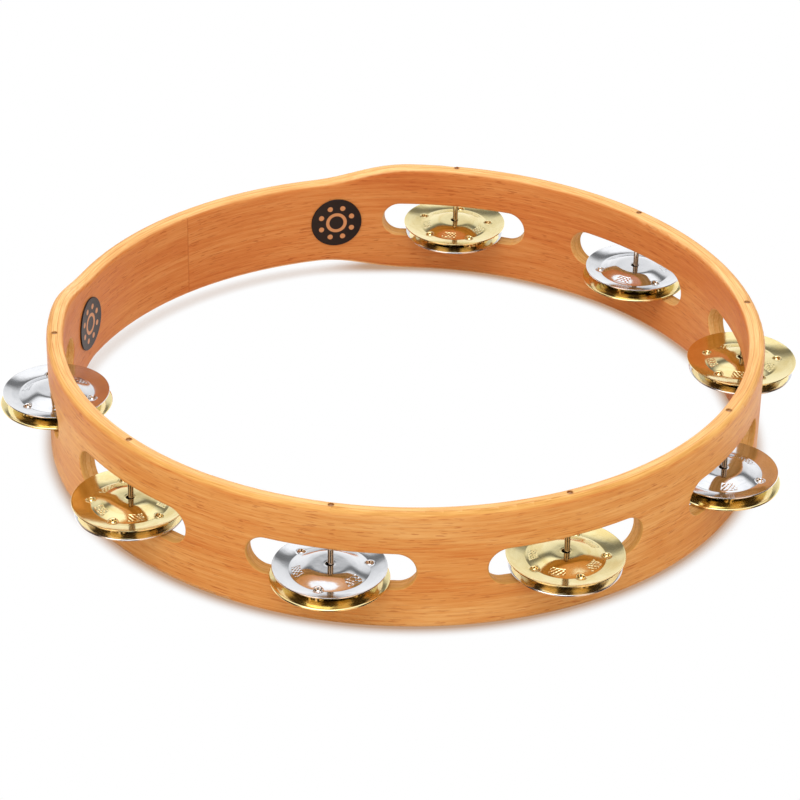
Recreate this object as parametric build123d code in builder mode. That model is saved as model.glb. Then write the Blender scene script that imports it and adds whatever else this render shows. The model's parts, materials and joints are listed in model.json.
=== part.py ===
"""Handheld wooden tambourine: a bent, laminated ring with eight pairs of loose jingles.

The origin is the centre of the ring at mid-height, +Z is up and the hand grip is on the -X side.
Lengths are in millimetres and angles in degrees.
"""

import math
import os
from dataclasses import dataclass

from build123d import *

# Ring
RING_DIAMETER = 254.0
RING_RADIUS = RING_DIAMETER / 2
WALL = 6.0
BORE_RADIUS = RING_RADIUS - WALL
WALL_RADIUS = RING_RADIUS - WALL / 2
RING_HEIGHT = 44.45
RIM_ROUNDING = 2.4

# Hand grip: both rims step in over a stretch of the wall, with an easy curve at each end
GRIP_STEP = 5.0
GRIP_HALF_WIDTH = 56.0
GRIP_BLEND = 31.0

# Slots that the jingles work in, spread either side of the point opposite the grip
PAIRS = 8
PAIR_PITCH = 36.4
SLOT_LENGTH = 56.0
SLOT_HEIGHT = 13.2
SLOT_ROUNDING = 0.9

# Pins, driven in from the top rim
PIN_RADIUS = 1.0
PIN_RECESS = 0.5
PIN_LENGTH = 39.7
PIN_CHAMFER = 0.25

# Jingles: stamped sheet with a raised centre, a cone down to a sharp crease and a flared brim
SHEET = 0.5
JINGLE_HOLE_RADIUS = 1.45
CREASE_RADIUS = 13.3
CENTRE_RISE = 2.05
BRIM_RISE = 1.3
BRIM_START_ANGLE = 6.0
BRIM_END_ANGLE = 17.0
RUNNING_GAP = 0.05

# Dimples, pressed through the crease from the outer face; their far sides hold the jingles apart
DIMPLE_RADIUS = 1.5
DIMPLE_DEPTH = 1.0
DIMPLE_LIP = 0.15
BUMP_RADIUS = DIMPLE_RADIUS + SHEET
LOOSE_TURN = 36.0

# Round badges on the inner wall, one each side of the grip
BADGE_RADIUS = 10.0
BADGE_THICKNESS = 0.6
BADGE_ANGLE = 149.5
BADGE_ROUNDING = 0.2

# Distance that a cut runs past the wood
OVERRUN = 10.0


@dataclass
class Stamping:
    """Proportions of one kind of jingle."""

    radius: float
    centre_radius: float
    cone_angle: float
    dimples: int


BRASS = Stamping(radius=19.75, centre_radius=4.2, cone_angle=15.0, dimples=5)
STEEL = Stamping(radius=18.85, centre_radius=6.0, cone_angle=22.0, dimples=3)


def radial(angle):
    """Unit vector pointing outward at an angle."""
    turn = math.radians(angle)
    return Vector(math.cos(turn), math.sin(turn), 0)


def outward_plane(angle, distance):
    """Plane that faces outward at an angle and a distance from the ring's axis, with Y up."""
    return Plane(origin=radial(angle) * distance, x_dir=radial(angle + 90), z_dir=radial(angle))


def level_plane(angle, height, up=1):
    """Horizontal plane centred on the wall at an angle, facing up or, with up at -1, down."""
    origin = radial(angle) * WALL_RADIUS + Vector(0, 0, height)
    return Plane(origin=origin, x_dir=radial(angle), z_dir=(0, 0, up))


def section_plane(angle, height):
    """Vertical plane across the wall at an angle, with X pointing outward and Y up."""
    origin = radial(angle) * WALL_RADIUS + Vector(0, 0, height)
    return Plane(origin=origin, x_dir=radial(angle), z_dir=radial(angle - 90))


def slope(angle):
    """Unit vector in a section, rising outward at an angle."""
    return Vector(math.cos(math.radians(angle)), math.sin(math.radians(angle)))


def save(part, name):
    """Label a finished part and write its STEP file."""
    part.label = name
    export_step(part, f"parts/{name}.step")


pair_angles = {number: (number - (PAIRS + 1) / 2) * PAIR_PITCH for number in range(1, PAIRS + 1)}
rim_height = RING_HEIGHT / 2
pin_top = rim_height - PIN_RECESS
pin_bottom = pin_top - PIN_LENGTH
os.makedirs("parts", exist_ok=True)


# Ring blank
with BuildPart() as frame:
    with BuildSketch(Plane.XY.offset(-rim_height)):
        Circle(RING_RADIUS)
        Circle(BORE_RADIUS, mode=Mode.SUBTRACT)
    extrude(amount=RING_HEIGHT)

    # Step in both rims at the grip
    grip_end = GRIP_HALF_WIDTH + GRIP_BLEND
    for side in (1, -1):
        rim = side * rim_height
        step = side * (rim_height - GRIP_STEP)
        past = side * (rim_height + OVERRUN)
        with BuildSketch(Plane.YZ):
            with BuildLine():
                Line((-GRIP_HALF_WIDTH, step), (GRIP_HALF_WIDTH, step))
                Spline((GRIP_HALF_WIDTH, step), (grip_end, rim), tangents=((1, 0), (1, 0)))
                Polyline((grip_end, rim), (grip_end, past), (-grip_end, past), (-grip_end, rim))
                Spline((-grip_end, rim), (-GRIP_HALF_WIDTH, step), tangents=((1, 0), (1, 0)))
            make_face()
        extrude(amount=-RING_RADIUS - OVERRUN, mode=Mode.SUBTRACT)

    # Round all four rim edges
    walls = frame.faces().filter_by(GeomType.CYLINDER).sort_by(SortBy.AREA)[-2:]
    rim_edges = walls.edges().filter_by(GeomType.LINE, reverse=True)
    fillet(rim_edges, RIM_ROUNDING)

    # Cut the jingle slots and ease their edges
    for angle in pair_angles.values():
        with BuildSketch(outward_plane(angle, BORE_RADIUS - OVERRUN)):
            SlotOverall(SLOT_LENGTH, SLOT_HEIGHT)
        extrude(amount=WALL + 2 * OVERRUN, mode=Mode.SUBTRACT)
    mouths = frame.edges().filter_by(GeomType.LINE, reverse=True)
    fillet(mouths.filter_by_position(Axis.Z, -SLOT_HEIGHT / 2, SLOT_HEIGHT / 2), SLOT_ROUNDING)

    # Drill the pin holes from the top rim, across each slot and into the wood below it
    for angle in pair_angles.values():
        with BuildSketch(level_plane(angle, pin_bottom)):
            Circle(PIN_RADIUS)
        extrude(amount=rim_height + OVERRUN - pin_bottom, mode=Mode.SUBTRACT)

save(frame.part, "frame")


# Pins
for number, angle in pair_angles.items():
    with BuildPart() as pin:
        with BuildSketch(level_plane(angle, pin_bottom)):
            Circle(PIN_RADIUS)
        extrude(amount=PIN_LENGTH)
        chamfer(pin.edges().filter_by(GeomType.CIRCLE), PIN_CHAMFER)
    save(pin.part, f"pin_{number}")


def jingle(stamping, angle, height, up, turn):
    """One jingle whose crease faces its partner at a height; up is 1 for an upper jingle."""
    thickness = Vector(0, SHEET * up)
    hole = Vector(JINGLE_HOLE_RADIUS, CENTRE_RISE * up)
    shoulder = Vector(stamping.centre_radius, CENTRE_RISE * up)
    crease = Vector(CREASE_RADIUS, 0)
    edge = Vector(stamping.radius, BRIM_RISE * up)
    cone_ends = (slope(0), slope(-stamping.cone_angle * up))
    brim_ends = (slope(BRIM_START_ANGLE * up), slope(BRIM_END_ANGLE * up))
    sunk = DIMPLE_RADIUS - DIMPLE_DEPTH
    bump_top = -math.degrees(math.asin((sunk - DIMPLE_LIP) / BUMP_RADIUS))
    with BuildPart(level_plane(angle, height + up * (SHEET + sunk), up)) as disc:
        with BuildSketch(section_plane(angle, height)):
            with BuildLine():
                for face in (Vector(0, 0), thickness):
                    Line(hole + face, shoulder + face)
                    Spline(shoulder + face, crease + face, tangents=cone_ends)
                    Spline(crease + face, edge + face, tangents=brim_ends)
                Line(hole, hole + thickness)
                Line(edge, edge + thickness)
            make_face()
        revolve(axis=Axis(radial(angle) * WALL_RADIUS, (0, 0, 1)))
        with PolarLocations(CREASE_RADIUS, stamping.dimples, start_angle=turn):
            Sphere(BUMP_RADIUS, arc_size2=bump_top, align=None)
            Sphere(DIMPLE_RADIUS, mode=Mode.SUBTRACT)
    return disc.part


# Jingle pairs, resting on the slot floors; brass and steel swap places from one pair to the next
lower_height = -SLOT_HEIGHT / 2 + RUNNING_GAP + SHEET + CENTRE_RISE
upper_height = lower_height + DIMPLE_DEPTH + RUNNING_GAP
for number, angle in pair_angles.items():
    lower_kind, upper_kind = (BRASS, STEEL) if number % 2 else (STEEL, BRASS)
    turn = number * LOOSE_TURN
    save(jingle(lower_kind, angle, lower_height, -1, turn), f"jingle_lower_{number}")
    save(jingle(upper_kind, angle, upper_height, 1, -turn - LOOSE_TURN), f"jingle_upper_{number}")


# Badges, curved to lie against the inner wall
for side, angle in {"left": -BADGE_ANGLE, "right": BADGE_ANGLE}.items():
    with BuildPart() as badge:
        with BuildSketch(Plane.XY.offset(-BADGE_RADIUS)):
            Circle(BORE_RADIUS)
            Circle(BORE_RADIUS - BADGE_THICKNESS, mode=Mode.SUBTRACT)
        extrude(amount=2 * BADGE_RADIUS)
        with BuildSketch(outward_plane(angle, BORE_RADIUS - OVERRUN)):
            Circle(BADGE_RADIUS)
        extrude(amount=2 * OVERRUN, mode=Mode.INTERSECT)
        front = badge.faces().sort_by_distance((0, 0, 0))[0]
        fillet(front.edges(), BADGE_ROUNDING)
    save(badge.part, f"badge_{side}")
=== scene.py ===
import json
import math

import bpy
import numpy as np
from mathutils import Matrix, Vector

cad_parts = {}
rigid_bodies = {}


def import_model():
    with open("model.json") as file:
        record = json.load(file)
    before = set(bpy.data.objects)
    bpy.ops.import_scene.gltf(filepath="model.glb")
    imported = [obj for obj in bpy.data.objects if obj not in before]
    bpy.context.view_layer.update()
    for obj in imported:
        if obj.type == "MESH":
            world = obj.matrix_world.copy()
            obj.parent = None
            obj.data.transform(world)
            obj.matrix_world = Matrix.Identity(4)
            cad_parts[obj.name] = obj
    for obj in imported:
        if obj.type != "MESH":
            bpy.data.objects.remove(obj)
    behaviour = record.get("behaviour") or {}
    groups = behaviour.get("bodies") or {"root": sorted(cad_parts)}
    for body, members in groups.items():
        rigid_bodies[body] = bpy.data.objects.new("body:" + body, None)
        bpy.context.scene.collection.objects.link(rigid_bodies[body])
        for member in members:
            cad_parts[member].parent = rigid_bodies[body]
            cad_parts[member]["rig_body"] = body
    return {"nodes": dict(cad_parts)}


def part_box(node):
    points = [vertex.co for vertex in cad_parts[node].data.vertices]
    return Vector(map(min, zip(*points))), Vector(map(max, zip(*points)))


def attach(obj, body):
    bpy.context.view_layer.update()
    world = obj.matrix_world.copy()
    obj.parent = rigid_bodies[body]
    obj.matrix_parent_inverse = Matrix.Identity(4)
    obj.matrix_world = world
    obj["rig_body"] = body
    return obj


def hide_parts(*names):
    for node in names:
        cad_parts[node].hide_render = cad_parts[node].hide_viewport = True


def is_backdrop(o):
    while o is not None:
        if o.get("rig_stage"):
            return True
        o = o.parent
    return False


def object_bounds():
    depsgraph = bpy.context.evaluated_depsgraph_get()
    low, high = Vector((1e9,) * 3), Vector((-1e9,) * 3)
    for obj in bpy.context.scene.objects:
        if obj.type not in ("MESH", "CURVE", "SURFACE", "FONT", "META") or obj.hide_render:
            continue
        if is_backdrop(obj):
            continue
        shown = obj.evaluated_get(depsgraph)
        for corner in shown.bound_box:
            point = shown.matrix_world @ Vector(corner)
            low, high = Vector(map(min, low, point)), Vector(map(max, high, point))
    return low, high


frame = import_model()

cad_low, cad_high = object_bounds()
ring_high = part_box("frame")[1]

# Scene lengths are metres; shader and profile lengths are millimetres
MM = 0.001
FULL_TURN = 2 * math.pi

# The ring, as the CAD has it
WALL = 6.0
OUTER_RADIUS = ring_high.x / MM
BORE_RADIUS = OUTER_RADIUS - WALL
WALL_RADIUS = OUTER_RADIUS - WALL / 2
PAIRS = 8
PAIR_PITCH = math.radians(36.4)
BADGE_ANGLE = math.radians(149.5)

# Camera, placed round the ring's centre
CAMERA_AZIMUTH = math.radians(46.0)
CAMERA_ELEVATION = math.radians(30.18)
CAMERA_DISTANCE = 1.064
CAMERA_PAN = math.radians(-0.1)
CAMERA_PITCH = math.radians(30.68)
CAMERA_ROLL = math.radians(1.12)
CAMERA_LENS = 133.56


# Node graphs


def linear(value):
    """Linear light from a display value of 0 to 255."""
    value = value / 255
    return value / 12.92 if value <= 0.04045 else ((value + 0.055) / 1.055) ** 2.4


def rgb(red, green, blue):
    """Linear colour with full alpha from display values."""
    return (linear(red), linear(green), linear(blue), 1.0)


def grey(level):
    return (level, level, level, 1.0)


class Graph:
    """Builds a node tree from nested calls; each call returns the new node's output."""

    def __init__(self, tree):
        self.tree = tree
        tree.nodes.clear()

    def add(self, kind, inputs=None, **settings):
        node = self.tree.nodes.new(kind)
        for name, value in settings.items():
            setattr(node, name, value)
        for key, value in (inputs or {}).items():
            self.feed(node.inputs[key], value)
        return node

    def feed(self, socket, value):
        if isinstance(value, bpy.types.NodeSocket):
            self.tree.links.new(value, socket)
        else:
            socket.default_value = value

    def math(self, operation, *values):
        node = self.add("ShaderNodeMath", dict(enumerate(values)), operation=operation)
        return node.outputs[0]

    def plus(self, a, b):
        return self.math("ADD", a, b)

    def minus(self, a, b):
        return self.math("SUBTRACT", a, b)

    def times(self, a, b):
        return self.math("MULTIPLY", a, b)

    def size(self, value):
        return self.math("ABSOLUTE", value)

    def length(self, a, b):
        return self.math("SQRT", self.plus(self.times(a, a), self.times(b, b)))

    def vector(self, x, y, z):
        return self.add("ShaderNodeCombineXYZ", {0: x, 1: y, 2: z}).outputs[0]

    def dot(self, a, b):
        node = self.add("ShaderNodeVectorMath", {0: a, 1: b}, operation="DOT_PRODUCT")
        return node.outputs["Value"]

    def split(self, vector):
        return self.add("ShaderNodeSeparateXYZ", {0: vector}).outputs

    def source(self, kind, name):
        """One output of a node that takes no inputs."""
        return self.add(kind).outputs[name]

    def noise(self, x, y, z, detail=2.0, roughness=0.5, distortion=0.0):
        inputs = {
            "Vector": self.vector(x, y, z),
            "Scale": 1.0,
            "Detail": detail,
            "Roughness": roughness,
            "Distortion": distortion,
        }
        return self.add("ShaderNodeTexNoise", inputs).outputs["Fac"]

    def step(self, value, low, high, at_low=0.0, at_high=1.0):
        """Runs smoothly from at_low, where value is low or less, to at_high."""
        inputs = {
            "Value": value,
            "From Min": low,
            "From Max": high,
            "To Min": at_low,
            "To Max": at_high,
        }
        return self.add("ShaderNodeMapRange", inputs, interpolation_type="SMOOTHSTEP").outputs[0]

    def ramp(self, value, *stops):
        """Colour from (position, colour) stops."""
        node = self.add("ShaderNodeValToRGB", {"Fac": value})
        elements = node.color_ramp.elements
        elements[0].position, elements[0].color = stops[0]
        elements[1].position, elements[1].color = stops[-1]
        for position, colour in stops[1:-1]:
            elements.new(position).color = colour
        return node.outputs["Color"]

    def mix(self, share, a, b):
        """Colour a where share is 0 and b where it is 1."""
        node = self.add("ShaderNodeMix", data_type="RGBA")
        colours = [socket for socket in node.inputs if socket.type == "RGBA"]
        self.feed(node.inputs[0], share)
        self.feed(colours[0], a)
        self.feed(colours[1], b)
        return next(socket for socket in node.outputs if socket.type == "RGBA")

    def bump(self, height, strength, depth):
        inputs = {"Height": height, "Strength": strength, "Distance": depth * MM}
        return self.add("ShaderNodeBump", inputs).outputs["Normal"]

    def surface(self, inputs):
        shader = self.add("ShaderNodeBsdfPrincipled", inputs)
        self.add("ShaderNodeOutputMaterial", {"Surface": shader.outputs[0]})


def new_material(name):
    material = bpy.data.materials.new(name)
    material.use_nodes = True
    return material, Graph(material.node_tree)


def ring_position(g):
    """Distance round the wall, height and radius in millimetres, and the angle."""
    x, y, z = g.split(g.source("ShaderNodeTexCoord", "Object"))
    angle = g.math("ARCTAN2", y, x)
    round_wall = g.times(angle, WALL_RADIUS)
    return round_wall, g.math("DIVIDE", z, MM), g.math("DIVIDE", g.length(x, y), MM), angle


# Wood

PLIES = 3
OUTER_TONES = (rgb(201, 118, 50), rgb(212, 141, 70), rgb(223, 162, 93))
INNER_TONES = (rgb(194, 104, 45), rgb(205, 122, 58), rgb(215, 141, 75))
PEACH_TONES = (rgb(222, 158, 92), rgb(238, 182, 114), rgb(246, 200, 136))
GOLD_TONES = (rgb(198, 136, 64), rgb(216, 156, 80), rgb(230, 176, 100))
# Painted shade laid on the slots' cut faces
SLOT_SHADE_TONE = rgb(178, 124, 54)
PORE_COLOUR = rgb(158, 68, 20)
GLUE_COLOUR = rgb(176, 112, 56)
# Painted shade round the pins' mouths
MOUTH_SHADE_COLOUR = rgb(120, 76, 44)

# How far pores, splice, glue and the painted shade at pin mouths cover the wood's own colour
PORE_COVER = 0.50
SPLICE_COVER = 0.30
GLUE_COVER = 0.55
MOUTH_SHADE_COVER = 0.55

# Noise levels that give the dark, middle and light tones, on walls and on cut edges
TONE_POSITIONS = (0.38, 0.49, 0.60)
EDGE_POSITIONS = (0.39, 0.50, 0.61)

# The outer wall's grain is moved this far along, so that it differs from the inner wall's
VENEER_SHIFT = 700.0

# Distances from the ring's middle height: cut edges belong to a slot below the first and to a rim
# above the second, and the painted shade round the pins' mouths lies above the third
SLOT_END = 14.0
RIM_START = 17.0
PIN_MOUTHS = 15.0

# Distances between which these fade out: the grip's splice, and the painted shade round each pin's
# axis
SPLICE_REACH = (0.10, 0.50)
MOUTH_SHADE_REACH = (0.7, 1.6)

# The glue fades out between these distances from its line, as shares of one ply
GLUE_REACH = (0.02, 0.09)

# How far outward or inward a surface faces where cut edges turn into walls
WALL_FACING = (0.72, 0.96)

LACQUER_SPECULAR = 0.16
LACQUER_COAT = 0.05


def wood_grain(g, along, height, sheet):
    """Tone, pores and streaks of a veneer whose grain runs round the ring."""

    def grain(per_along, per_height, layer, **settings):
        """Noise of this many waves per millimetre along the grain and across it."""
        return g.noise(g.times(along, per_along), g.times(height, per_height), layer, **settings)

    broad = grain(0.010, 0.07, sheet, detail=3.0, roughness=0.55, distortion=0.8)
    streak = grain(0.03, 0.75, sheet, detail=4.0, roughness=0.6, distortion=0.4)
    fine = grain(0.10, 3.2, sheet, detail=3.0, roughness=0.6, distortion=0.2)
    tone = g.plus(g.times(broad, 0.40), g.times(streak, 0.35))
    tone = g.plus(tone, g.times(fine, 0.25))
    flecks = grain(0.20, 1.6, sheet, detail=1.0, roughness=0.4, distortion=0.15)
    dashes = grain(0.10, 2.1, g.plus(sheet, 5.0), detail=1.0, roughness=0.4, distortion=0.1)
    patches = grain(0.025, 0.12, g.plus(sheet, 9.0))
    pores = g.math("MAXIMUM", g.step(flecks, 0.62, 0.69), g.step(dashes, 0.63, 0.70))
    return tone, g.times(pores, g.step(patches, 0.38, 0.62, 0.35, 1.0)), streak


def veneer(g, along, height, outer):
    """Colour, pores and streaks of the walls; outer is 1 on the outer wall and 0 on the inner."""
    shifted = g.plus(along, g.times(outer, VENEER_SHIFT))
    tone, pores, streak = wood_grain(g, shifted, height, outer)
    outside = g.ramp(tone, *zip(TONE_POSITIONS, OUTER_TONES))
    inside = g.ramp(tone, *zip(TONE_POSITIONS, INNER_TONES))
    colour = g.mix(outer, inside, outside)
    colour = g.mix(g.times(pores, PORE_COVER), colour, PORE_COLOUR)

    # Faint splice across the middle of the grip, where the angle wraps round
    splice = g.minus(math.pi * WALL_RADIUS, g.size(along))
    splice = g.step(splice, *SPLICE_REACH, SPLICE_COVER, 0.0)
    return g.mix(splice, colour, PORE_COLOUR), pores, streak


def cut_edge(g, along, height, radius, facing, slot):
    """Colour of the plies seen from their edges, on the rims and in the slots, with painted shade in
    the slots.
    """
    ply = g.math("DIVIDE", g.minus(radius, BORE_RADIUS), WALL / PLIES)
    fibre = g.noise(g.times(along, 0.08), g.times(radius, 2.6), g.times(height, 0.9), 4.0, 0.6)
    layer = g.noise(g.math("FLOOR", ply), g.times(along, 0.012), g.times(height, 0.05))
    tone = g.plus(g.times(fibre, 0.60), g.times(layer, 0.40))
    peach = g.ramp(tone, *zip(EDGE_POSITIONS, PEACH_TONES))
    gold = g.ramp(tone, *zip(EDGE_POSITIONS, GOLD_TONES))

    # Rims turn from peach to gold as they round over outward
    rounding = g.times(g.step(facing, 0.10, 0.55), g.minus(1.0, slot))
    colour = g.mix(rounding, peach, gold)

    # Thin glue lines between plies, but none at the walls
    place = g.math("FRACT", ply)
    from_line = g.math("MINIMUM", place, g.minus(1.0, place))
    from_middle = g.size(g.minus(ply, PLIES / 2))
    between = g.math("LESS_THAN", from_middle, PLIES / 2 - 0.5)
    glue = g.times(g.step(from_line, *GLUE_REACH, GLUE_COVER, 0.0), between)
    colour = g.mix(glue, colour, GLUE_COLOUR)

    # Painted shade: the slots' cut faces are darkened, more towards the outer wall
    shade = g.step(radius, WALL_RADIUS, OUTER_RADIUS - 0.5, 0.40, 0.75)
    return g.mix(g.times(slot, shade), colour, SLOT_SHADE_TONE)


def pin_mouth_shade(g, height, radius, angle):
    """How far the painted shade round each pin's mouth covers the wood."""
    turns = g.math("FRACT", g.math("DIVIDE", angle, PAIR_PITCH))
    aside = g.times(g.minus(turns, 0.5), PAIR_PITCH * WALL_RADIUS)
    from_pin = g.length(aside, g.minus(radius, WALL_RADIUS))
    mouth_shade = g.step(from_pin, *MOUTH_SHADE_REACH, MOUTH_SHADE_COVER, 0.0)
    mouth_shade = g.times(mouth_shade, g.math("LESS_THAN", g.size(angle), PAIR_PITCH * PAIRS / 2))
    return g.times(mouth_shade, g.math("GREATER_THAN", height, PIN_MOUTHS))


def wood_material():
    """Lacquered plywood: veneer on the walls, and bare plies on the rims and in the slots."""
    material, g = new_material("lacquered_plywood")
    along, height, radius, angle = ring_position(g)

    # How far a surface faces outward: 1 on the outer wall, -1 on the inner one, 0 on cut edges
    outward = g.vector(g.math("COSINE", angle), g.math("SINE", angle), 0.0)
    facing = g.dot(g.source("ShaderNodeNewGeometry", "Normal"), outward)
    outer = g.math("GREATER_THAN", facing, 0.0)
    wall = g.step(g.size(facing), *WALL_FACING)
    slot = g.step(g.size(height), SLOT_END, RIM_START, 1.0, 0.0)
    slot = g.times(slot, g.minus(1.0, wall))

    walls, pores, streak = veneer(g, along, height, outer)
    colour = g.mix(wall, cut_edge(g, along, height, radius, facing, slot), walls)
    # Painted shade round each pin's mouth
    colour = g.mix(pin_mouth_shade(g, height, radius, angle), colour, MOUTH_SHADE_COLOUR)
    relief = g.plus(g.times(pores, -0.8), g.times(streak, 0.4))
    wear = g.noise(g.times(along, 0.1), g.times(height, 0.1), g.times(radius, 0.1))
    g.surface({
        "Base Color": colour,
        "Roughness": g.step(streak, 0.3, 0.7, 0.42, 0.52),
        "Specular IOR Level": g.times(g.minus(1.0, g.times(slot, 0.8)), LACQUER_SPECULAR),
        "Normal": g.bump(relief, 0.15, 0.35),
        "Coat Weight": g.times(g.minus(1.0, slot), LACQUER_COAT),
        "Coat Roughness": g.step(wear, 0.3, 0.7, 0.20, 0.32),
    })
    return material


# Metals

BRASS_TONES = (rgb(246, 231, 176), rgb(237, 215, 150))
STEEL_TONES = (rgb(234, 235, 238), rgb(222, 224, 228))
WIRE_TONES = (rgb(168, 158, 148), rgb(216, 208, 198))
PIN_END_COLOUR = rgb(168, 124, 88)

# Each jingle's noise is moved by up to this much, so that no two look the same
SEED_SPREAD = 50.0

# Knurled patches; their edges fade out between the two half sizes
KNURL_RADIUS = 10.9
KNURL_HALF_LENGTH = (2.4, 2.8)
KNURL_HALF_WIDTH = (1.3, 1.6)
KNURL_WAVES = 4.2

# Depths under the rim at which a pin is bright wire and at which it is all dull end
WIRE_DEPTH = 1.2
PIN_END_DEPTH = 0.8


def knurling(g, radius, angle, patches):
    """Height of sunk patches with a raised weave, halfway between one dimple and the next."""
    pitch = FULL_TURN / patches
    turn = g.minus(g.math("FRACT", g.math("DIVIDE", angle, pitch)), 0.5)
    along = g.times(turn, pitch * KNURL_RADIUS)
    across = g.minus(radius, KNURL_RADIUS)
    patch = g.step(g.size(along), *KNURL_HALF_LENGTH, 1.0, 0.0)
    patch = g.times(patch, g.step(g.size(across), *KNURL_HALF_WIDTH, 1.0, 0.0))
    waves = [g.math("SINE", g.times(part, KNURL_WAVES)) for part in (along, across)]
    return g.times(patch, g.plus(g.times(g.times(*waves), 0.5), -0.6))


def metal_material(name, tones, roughness, patches):
    """Polished stamped sheet with faint smears, turning lines and patches of plain knurling."""
    material, g = new_material(name)
    light, deep = tones
    x, y, z = g.split(g.source("ShaderNodeTexCoord", "Object"))
    x, y, z = (g.math("DIVIDE", part, MM) for part in (x, y, z))
    seed = g.times(g.source("ShaderNodeObjectInfo", "Random"), SEED_SPREAD)
    radius = g.length(x, y)
    angle = g.math("ARCTAN2", y, x)

    layer = g.plus(z, seed)
    smear = g.noise(g.times(x, 0.12), g.times(y, 0.12), layer, 3.0, 0.55, 0.5)
    dent = g.noise(g.times(x, 0.25), g.times(y, 0.25), g.plus(g.times(z, 0.25), seed))
    turning = g.noise(g.times(radius, 7.0), g.times(angle, 0.3), seed, 2.0, 0.7)
    speck = g.noise(g.times(x, 1.6), g.times(y, 1.6), layer, 2.0, 0.6)
    colour = g.mix(g.step(smear, 0.35, 0.75), light, deep)
    colour = g.mix(g.step(speck, 0.60, 0.80, 0.0, 0.35), colour, deep)

    # Patches are worn unevenly
    worn = g.step(g.noise(g.times(x, 0.5), g.times(y, 0.5), seed), 0.35, 0.55, 0.5, 1.0)
    stamp = g.times(knurling(g, radius, angle, patches), worn)
    relief = g.plus(g.plus(stamp, g.times(turning, 0.02)), g.times(dent, 0.22))
    g.surface({
        "Base Color": colour,
        "Metallic": 1.0,
        "Roughness": g.step(smear, 0.3, 0.7, roughness, roughness + 0.04),
        "Normal": g.bump(relief, 0.9, 0.14),
    })
    return material


def pin_material():
    """Drawn wire, dull and brown on the cut end in the rim."""
    material, g = new_material("drawn_steel_wire")
    x, y, z = g.split(g.source("ShaderNodeTexCoord", "Object"))
    scratch = g.noise(g.times(x, 4000.0), g.times(y, 4000.0), g.times(z, 60.0))
    end = g.step(z, ring_high.z - WIRE_DEPTH * MM, ring_high.z - PIN_END_DEPTH * MM)
    g.surface({
        "Base Color": g.mix(end, g.mix(scratch, *WIRE_TONES), PIN_END_COLOUR),
        "Metallic": g.step(end, 0.0, 1.0, 1.0, 0.0),
        "Roughness": g.step(end, 0.0, 1.0, 0.20, 0.60),
        "Normal": g.bump(scratch, 0.2, 0.05),
    })
    return material


# Badges

INK_TONES = (rgb(22, 14, 16), rgb(38, 28, 30))
TAN_TONES = (rgb(184, 116, 68), rgb(214, 150, 98))

# Radii of the motif's ring and of its circle of dots; their edges fade out between the two sizes
MOTIF_TURN = FULL_TURN / 8
MOTIF_RING = 3.5
MOTIF_RING_HALF_WIDTH = (0.55, 0.75)
MOTIF_DOTS = 6.5
MOTIF_DOT_RADIUS = (0.95, 1.15)


def badge_material(name, centre_angle):
    """Near-black print carrying a plain motif, a ring with eight dots round it."""
    material, g = new_material(name)
    along, height, radius, _ = ring_position(g)
    across = g.times(g.minus(along, centre_angle * WALL_RADIUS), BORE_RADIUS / WALL_RADIUS)
    reach = g.length(across, height)
    share = g.math("FRACT", g.math("DIVIDE", g.math("ARCTAN2", height, across), MOTIF_TURN))
    ring = g.step(g.size(g.minus(reach, MOTIF_RING)), *MOTIF_RING_HALF_WIDTH, 1.0, 0.0)
    aside = g.times(g.minus(share, 0.5), MOTIF_TURN * MOTIF_DOTS)
    from_dot = g.length(aside, g.minus(reach, MOTIF_DOTS))
    dots = g.step(from_dot, *MOTIF_DOT_RADIUS, 1.0, 0.0)
    speckle = g.noise(g.times(along, 2.5), g.times(height, 2.5), g.times(radius, 2.5), 3.0)
    ink = g.mix(speckle, *INK_TONES)
    tan = g.mix(speckle, *TAN_TONES)
    g.surface({
        "Base Color": g.mix(g.math("MAXIMUM", ring, dots), ink, tan),
        "Roughness": g.step(speckle, 0.3, 0.7, 0.38, 0.50),
        "Specular IOR Level": 0.35,
        "Normal": g.bump(speckle, 0.1, 0.1),
    })
    return material


# Jingles

# Profile of the stamped sheet; heights are over the crease of its inner face
SHEET = 0.5
HOLE_RADIUS = 1.45
CREASE_RADIUS = 13.3
CENTRE_RISE = 2.05
BRIM_RISE = 1.3
BRIM_START = math.tan(math.radians(6.0))
BRIM_END = math.tan(math.radians(17.0))
EDGE_ROUNDING = 0.2
DIMPLE_RADIUS = 1.5
DIMPLE_DEPTH = 1.0
DIMPLE_LIP = 0.14
DIMPLE_LIP_WIDTH = 0.22
BUMP_RADIUS = DIMPLE_RADIUS + SHEET

# Points along the section: from the hole to the dimple, across the dimple on the outer and on the
# inner face, and from there to the rim
HOLE_POINTS = 14
DIMPLE_POINTS = 31
BUMP_POINTS = 17
RIM_POINTS = 10

# Turn of the dimples from the lower jingle of a pair to the upper one, and from pair to pair
LOOSE_TURN = math.radians(36.0)

# How the pairs lie in the photo: each turned about its pin, in degrees, and off to one side of it
REST_TURNS = (-8.0, -10.0, 20.0, 30.0, -20.0, 38.0, -54.0, 34.0)
REST_SHIFT = 0.3


def curve(start, end, start_slope, end_slope, radius):
    """Height at a radius on a cubic from start to end, each a (radius, height) pair."""
    span = end[0] - start[0]
    t = np.clip((radius - start[0]) / span, 0, 1)
    rise = start[1] + (end[1] - start[1]) * (3 * t**2 - 2 * t**3)
    return rise + span * (start_slope * (t**3 - 2 * t**2 + t) + end_slope * (t**3 - t**2))


def corner(radius, height, sixteenths):
    """Section rows of a rounded corner about its centre, in sixteenths of a turn from upward."""
    turns = np.array(sixteenths) * FULL_TURN / 16
    radii, heights = radius + EDGE_ROUNDING * np.sin(turns), height + EDGE_ROUNDING * np.cos(turns)
    return [(*place, 0, 0) for place in zip(radii, heights)]


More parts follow.
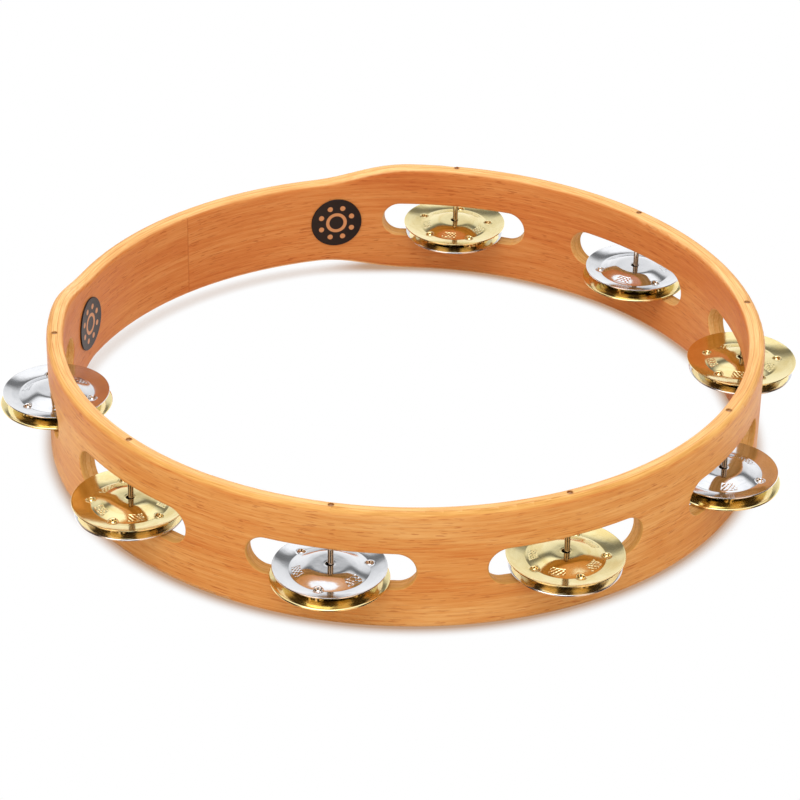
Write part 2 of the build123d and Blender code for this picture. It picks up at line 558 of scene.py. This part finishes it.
class Jingle:
    """One kind of jingle; its mesh has the crease at height 0, a raised centre and a dimple on +X."""

    def __init__(self, slot, material, radius, centre_radius, cone_angle, dimples, columns, crowding):
        self.slot = slot
        self.radius = radius
        self.centre_radius = centre_radius
        self.cone_slope = -math.tan(math.radians(cone_angle))
        self.pitch = FULL_TURN / dimples
        self.dimples = dimples
        self.columns = columns
        self.crowding = crowding
        self.mesh = self.build()
        self.mesh.materials.append(material)

    def height(self, radius):
        """Height of the inner face over the crease."""
        crease = (CREASE_RADIUS, 0.0)
        cone = curve((self.centre_radius, CENTRE_RISE), crease, 0.0, self.cone_slope, radius)
        brim = curve(crease, (self.radius, BRIM_RISE), BRIM_START, BRIM_END, radius)
        return float(np.where(radius < CREASE_RADIUS, cone, brim))

    def section(self):
        """Rows of (radius, height, 1 on the outer face, 1 on the inner face) round the section."""
        rim, hole = self.radius - EDGE_ROUNDING, HOLE_RADIUS + EDGE_ROUNDING
        near, far = CREASE_RADIUS - BUMP_RADIUS, CREASE_RADIUS + BUMP_RADIUS
        cone = np.linspace(hole, near, HOLE_POINTS)[:-1]
        brim = np.linspace(far, rim, RIM_POINTS)[1:]
        outer = np.concatenate([cone, np.linspace(near, far, DIMPLE_POINTS), brim])
        inner = np.concatenate([cone, np.linspace(near, far, BUMP_POINTS), brim])[::-1]
        low, top = self.height(self.radius), CENTRE_RISE + SHEET
        rows = [(radius, self.height(radius) + SHEET, 1, 0) for radius in outer]
        rows += corner(rim, low + SHEET - EDGE_ROUNDING, range(1, 5))
        rows += corner(rim, low + EDGE_ROUNDING, range(4, 8))
        rows += [(radius, self.height(radius), 0, 1) for radius in inner]
        rows += corner(hole, CENTRE_RISE + EDGE_ROUNDING, range(9, 13))
        rows += corner(hole, top - EDGE_ROUNDING, range(12, 16))
        return np.array(rows, float)

    def angles(self):
        """Column angles, crowded together near each dimple."""
        part = np.arange(self.columns) / self.columns * 2 - 1
        part = (part + self.crowding * part**3) / (1 + self.crowding)
        return np.concatenate([self.pitch * (dimple + part / 2) for dimple in range(self.dimples)])

    def dimpled(self, radius, height, angle, outer, inner):
        """Heights of the points after a ball has pressed each dimple in from above."""
        aside = angle - self.pitch * np.round(angle / self.pitch)
        reach = np.hypot(radius * np.cos(aside) - CREASE_RADIUS, radius * np.sin(aside))
        centre = SHEET + DIMPLE_RADIUS - DIMPLE_DEPTH

        # The outer face follows the ball, with a slight lip round it
        ball = centre - np.sqrt(np.clip(DIMPLE_RADIUS**2 - reach**2, 0, None))
        lip = height + DIMPLE_LIP * np.exp(-(((reach - DIMPLE_RADIUS) / DIMPLE_LIP_WIDTH) ** 2))
        dimple = np.where(reach < DIMPLE_RADIUS, np.minimum(lip, ball), lip)

        # The inner face follows a larger ball round the same centre
        bulge = centre - np.sqrt(np.clip(BUMP_RADIUS**2 - reach**2, 0, None))
        bump = np.where(reach < BUMP_RADIUS, np.minimum(height, bulge), height)
        return np.where(outer > 0, dimple, np.where(inner > 0, bump, height))

    def build(self):
        section, angles = self.section(), self.angles()
        rows, turns = len(section), len(angles)
        radius, height, outer, inner = (np.repeat(part[:, None], turns, 1) for part in section.T)
        angle = np.repeat(angles[None, :], rows, 0)
        height = self.dimpled(radius, height, angle, outer, inner)
        points = np.stack([radius * np.cos(angle), radius * np.sin(angle), height], -1) * MM
        here = np.arange(rows * turns).reshape(rows, turns)
        ahead, below = np.roll(here, -1, 1), np.roll(here, -1, 0)
        quads = np.stack([here, below, np.roll(below, -1, 1), ahead], -1)
        mesh = bpy.data.meshes.new(self.slot)
        mesh.from_pydata(points.reshape(-1, 3).tolist(), [], quads.reshape(-1, 4).tolist())
        mesh.shade_smooth()
        return mesh

    def place(self, node, pair_angle, upper, turn):
        """A jingle in a CAD node's place, turned about its pin."""
        low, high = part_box(node)
        over_crease = (SHEET + CENTRE_RISE) * MM
        origin = (low + high) / 2
        origin.z = high.z - over_crease if upper else low.z + over_crease
        across_view = Vector((math.cos(CAMERA_AZIMUTH), math.sin(CAMERA_AZIMUTH), 0))
        origin -= across_view * REST_SHIFT * MM
        flip = Matrix.Identity(4) if upper else Matrix.Rotation(math.pi, 4, "X")
        piece = bpy.data.objects.new(f"stamped_{node}", self.mesh)
        bpy.context.scene.collection.objects.link(piece)
        about_pin = Matrix.Rotation(pair_angle, 4, "Z") @ flip @ Matrix.Rotation(turn, 4, "Z")
        piece.matrix_world = Matrix.Translation(origin) @ about_pin
        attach(piece, frame["nodes"][node]["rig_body"])
        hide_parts(node)


def dress(node, material):
    """Gives a CAD node its material."""
    mesh = frame["nodes"][node].data
    mesh.materials.clear()
    mesh.materials.append(material)


dress("frame", wood_material())
dress("badge_left", badge_material("badge_print_left", -BADGE_ANGLE))
dress("badge_right", badge_material("badge_print_right", BADGE_ANGLE))
wire = pin_material()
brass = Jingle(
    "polished_brass", metal_material("polished_brass", BRASS_TONES, roughness=0.10, patches=5),
    radius=19.75, centre_radius=4.2, cone_angle=9.0, dimples=5, columns=56, crowding=1.5,
)
steel = Jingle(
    "polished_steel", metal_material("polished_steel", STEEL_TONES, roughness=0.08, patches=3),
    radius=18.85, centre_radius=6.0, cone_angle=13.0, dimples=3, columns=90, crowding=3.0,
)
for number in range(1, PAIRS + 1):
    dress(f"pin_{number}", wire)
    low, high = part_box(f"pin_{number}")
    pair_angle = math.atan2(low.y + high.y, low.x + high.x)
    pair_angle += math.radians(REST_TURNS[number - 1])
    lower, upper = (brass, steel) if number % 2 else (steel, brass)
    turn = number * LOOSE_TURN
    lower.place(f"jingle_lower_{number}", pair_angle, False, turn)
    upper.place(f"jingle_upper_{number}", pair_angle, True, -turn - LOOSE_TURN)


# Studio

# Even light on everything matt
AMBIENT = 1.1

FLOOR_HALF = 6.0
FLOOR_WHITE = 0.80

# Light added to the far floor as polished metal sees it
FLOOR_LIFT = 0.15

# The camera sees a shadow where the ring hems the floor in: full below the first openness, none
# above the second
CONTACT_REACH = 7.5 * MM
CONTACT_OPENNESS = (0.38, 0.90)
CONTACT_COLOUR = rgb(190, 156, 130)

# Polished metal sees a room. Its far side starts between these shares of a half turn from the camera
FAR_SIDE = (0.56, 0.68)

# Near side, by share of a half turn from the camera: warm lights and gaps
WARM_LIGHT = (1.00, 0.68, 0.42, 1.0)
WARM_GAP = (0.050, 0.030, 0.018, 1.0)
FRONT_STOPS = (
    (0.00, WARM_GAP), (0.10, WARM_GAP), (0.13, WARM_LIGHT), (0.29, WARM_LIGHT),
    (0.34, WARM_GAP), (0.53, WARM_GAP), (0.60, WARM_LIGHT), (1.00, WARM_LIGHT),
)

# Far side, by height: a white wall with one dark gap
BACK_STOPS = (
    (0.00, grey(1.10)), (0.20, grey(1.05)), (0.38, grey(0.95)), (0.53, grey(0.84)),
    (0.60, grey(0.18)), (0.66, grey(0.18)), (0.74, grey(1.15)), (1.00, grey(1.30)),
)
CEILING_HEIGHT = (0.80, 0.90)
CEILING = grey(1.25)

KEY_PLACE = Vector((-0.3, -0.6, 1.5))
KEY_SIZE = 1.2
KEY_POWER = 9.0


def studio_sides(g, x, y):
    """How far a direction lies on the room's far side, and what its near side shows there.

    Both follow the camera, so that the metal looks alike from every side of the ring.
    """
    settings = {"vector_type": "VECTOR", "convert_from": "CAMERA", "convert_to": "WORLD"}
    looking = g.add("ShaderNodeVectorTransform", {0: (0.0, 0.0, 1.0)}, **settings).outputs[0]
    look_x, look_y, _ = g.split(looking)
    backwards = g.math("ARCTAN2", g.times(look_y, -1.0), g.times(look_x, -1.0))
    from_camera = g.minus(g.math("ARCTAN2", y, x), backwards)
    turned = g.size(g.math("WRAP", from_camera, math.pi, -math.pi))
    turned = g.math("DIVIDE", turned, math.pi)
    return g.step(turned, *FAR_SIDE), g.ramp(turned, *FRONT_STOPS)


def floor_material():
    """White paper; the camera sees it pure white but for the shadows close under the ring."""
    material, g = new_material("white_floor")
    rays = g.add("ShaderNodeLightPath").outputs
    x, y, _ = g.split(g.source("ShaderNodeNewGeometry", "Incoming"))
    away, front = studio_sides(g, g.times(x, -1.0), g.times(y, -1.0))
    mirrored = g.mix(away, front, grey(1.0))
    paper = g.add("ShaderNodeBsdfPrincipled", {
        "Base Color": g.mix(rays["Is Glossy Ray"], grey(FLOOR_WHITE), mirrored),
        "Roughness": 0.9,
        "Specular IOR Level": 0.0,
        "Emission Color": grey(1.0),
        "Emission Strength": g.times(g.times(rays["Is Glossy Ray"], away), FLOOR_LIFT),
    })
    openness = g.add("ShaderNodeAmbientOcclusion", {"Distance": CONTACT_REACH}).outputs["AO"]
    shadows = g.mix(g.step(openness, *CONTACT_OPENNESS), CONTACT_COLOUR, grey(1.0))
    seen = g.add("ShaderNodeEmission", {"Color": shadows})
    inputs = {0: rays["Is Camera Ray"], 1: paper.outputs[0], 2: seen.outputs[0]}
    both = g.add("ShaderNodeMixShader", inputs)
    g.add("ShaderNodeOutputMaterial", {"Surface": both.outputs[0]})
    return material


def make_floor():
    sides = ((-1, -1), (1, -1), (1, 1), (-1, 1))
    corners = [(x * FLOOR_HALF, y * FLOOR_HALF, cad_low.z) for x, y in sides]
    mesh = bpy.data.meshes.new("floor")
    mesh.from_pydata(corners, [], [(0, 1, 2, 3)])
    mesh.materials.append(floor_material())
    floor = bpy.data.objects.new("floor", mesh)
    bpy.context.scene.collection.objects.link(floor)
    floor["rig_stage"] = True


def make_world():
    """Even white light, with the lights and dark gaps that polished metal needs to reflect."""
    world = bpy.data.worlds.new("studio")
    bpy.context.scene.world = world
    world.use_nodes = True
    g = Graph(world.node_tree)
    x, y, z = g.split(g.source("ShaderNodeTexCoord", "Generated"))
    away, front = studio_sides(g, x, y)
    room = g.mix(away, front, g.ramp(z, *BACK_STOPS))
    room = g.mix(g.step(z, *CEILING_HEIGHT), room, CEILING)
    rays = g.add("ShaderNodeLightPath").outputs
    plain = g.mix(rays["Is Camera Ray"], grey(AMBIENT), grey(1.0))
    colour = g.mix(rays["Is Glossy Ray"], plain, room)
    light = g.add("ShaderNodeBackground", {"Color": colour})
    g.add("ShaderNodeOutputWorld", {"Surface": light.outputs[0]})


def make_key():
    """One large soft light, above and in front of the ring as the camera sees it."""
    place = Matrix.Rotation(CAMERA_AZIMUTH, 3, "Z") @ KEY_PLACE
    light = bpy.data.lights.new("key", "AREA")
    light.size = KEY_SIZE
    light.energy = KEY_POWER
    lamp = bpy.data.objects.new("key", light)
    lamp.location = place
    lamp.rotation_euler = (-place).to_track_quat("-Z", "Y").to_euler()
    bpy.context.scene.collection.objects.link(lamp)


def make_camera():
    """The camera stands on -Y looking along +Y, and is then carried round to its azimuth."""
    level, drop = math.cos(CAMERA_PITCH), math.sin(CAMERA_PITCH)
    forward = Vector((math.sin(CAMERA_PAN) * level, math.cos(CAMERA_PAN) * level, -drop))
    right = Vector((math.cos(CAMERA_PAN), -math.sin(CAMERA_PAN), 0))
    up = right.cross(forward)
    cos_roll, sin_roll = math.cos(CAMERA_ROLL), math.sin(CAMERA_ROLL)
    right, up = right * cos_roll + up * sin_roll, up * cos_roll - right * sin_roll
    pose = Matrix((right, up, -forward)).transposed().to_4x4()
    back, rise = math.cos(CAMERA_ELEVATION), math.sin(CAMERA_ELEVATION)
    pose.translation = Vector((0, -back, rise)) * CAMERA_DISTANCE
    data = bpy.data.cameras.new("camera")
    data.lens = CAMERA_LENS
    data.clip_start = 0.01
    camera = bpy.data.objects.new("camera", data)
    camera.matrix_world = Matrix.Rotation(CAMERA_AZIMUTH, 4, "Z") @ pose
    bpy.context.scene.collection.objects.link(camera)
    bpy.context.scene.camera = camera


make_floor()
make_world()
make_camera()
make_key()
bpy.context.scene.view_settings.view_transform = "Standard"

low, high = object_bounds()
